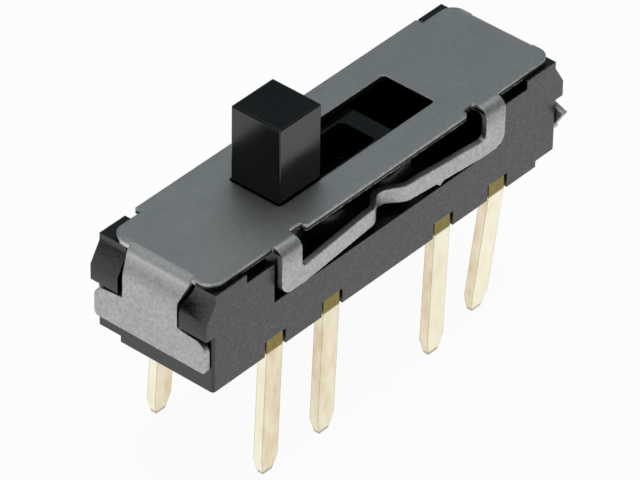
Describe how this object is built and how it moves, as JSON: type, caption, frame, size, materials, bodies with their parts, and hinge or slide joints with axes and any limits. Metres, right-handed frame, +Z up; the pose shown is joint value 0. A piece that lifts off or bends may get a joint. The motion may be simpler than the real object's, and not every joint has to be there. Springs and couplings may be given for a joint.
{
  "type": "slide switch",
  "caption": "Small board-mount slide switch: dark moulded base, folded steel cover with a detent strip, black sliding knob and rows of flat gold-plated pins.",
  "frame": {"origin": "centre of the base's underside, on the plane that seats on the board", "axes": "+X along the housing, +Y across it away from the near long side, +Z up towards the knob"},
  "size_m": [0.0162, 0.0049, 0.0109],
  "materials": {
    "base_moulding": "glass-filled moulding, fine matt grain, dark grey",
    "cover_steel": "satin plated spring steel with bright sheared edges",
    "slider_moulding": "smooth black moulding",
    "pin_plating": "pale gold plating over brass",
    "contact_metal": "gold-plated spring bronze"
  },
  "bodies": {
    "housing": {"base": "base_moulding", "cover": "cover_steel", "terminal_near_1": "pin_plating", "terminal_near_2": "pin_plating", "terminal_near_3": "pin_plating", "terminal_near_4": "pin_plating", "terminal_far_1": "pin_plating", "terminal_far_2": "pin_plating", "terminal_far_3": "pin_plating", "terminal_far_4": "pin_plating"},
    "slider": {"slider": "slider_moulding", "contact_clip_near": "contact_metal", "contact_clip_far": "contact_metal"}
  },
  "joints": [
    {"name": "slider_travel", "type": "slide", "parent": "housing", "child": "slider", "axis": [1, 0, 0], "range_m": [0, 0.00508]}
  ]
}
